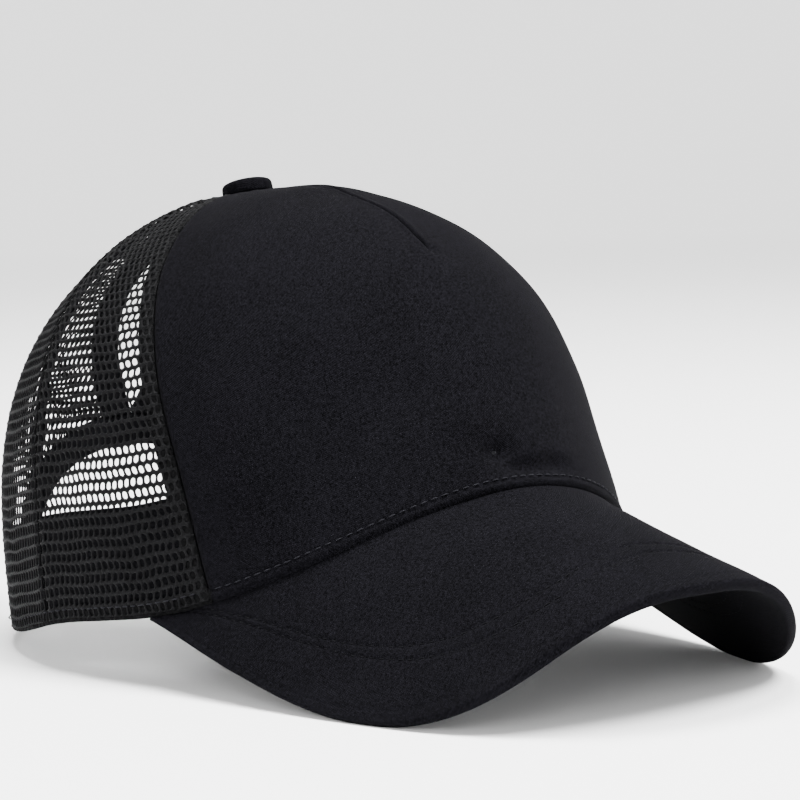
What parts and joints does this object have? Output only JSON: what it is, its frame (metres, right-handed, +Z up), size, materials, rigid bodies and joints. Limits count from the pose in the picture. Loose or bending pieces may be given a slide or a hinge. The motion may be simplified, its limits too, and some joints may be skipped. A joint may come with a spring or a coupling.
{
  "type": "ponytail baseball cap",
  "caption": "Black cap with a plain cloth front, net sides and back, a bent brim, a leaf-shaped ponytail hole and an adjustable strap.",
  "frame": {"origin": "centre of the bounding box's base, on the floor that the cap rests on", "axes": "+Z up, the brim points to -Y and the wearer's left is +X"},
  "size_m": [0.1644, 0.2672, 0.1309],
  "materials": {
    "front_cloth": "matt black cotton twill",
    "brim_cloth": "matt black cotton twill with rows of stitching",
    "button_cloth": "matt black cotton twill",
    "net": "black knitted polyester net",
    "binding_tape": "folded black cotton tape",
    "sweatband_cloth": "matt black cotton",
    "seam_tape": "black cotton tape",
    "strap_webbing": "black cloth strap with hook-and-loop faces"
  },
  "bodies": {
    "root": {"front_panel": "front_cloth", "brim": "brim_cloth", "button": "button_cloth", "sweatband": "sweatband_cloth", "arch_binding": "binding_tape", "hole_binding_left": "binding_tape", "hole_binding_right": "binding_tape", "strap_outer": "strap_webbing", "strap_inner": "strap_webbing", "side_mesh_left": "net", "side_mesh_right": "net", "back_mesh_left": "net", "back_mesh_right": "net", "front_seam_tape_left": "seam_tape", "front_seam_tape_right": "seam_tape", "side_seam_tape_left": "seam_tape", "side_seam_tape_right": "seam_tape"}
  },
  "joints": []
}
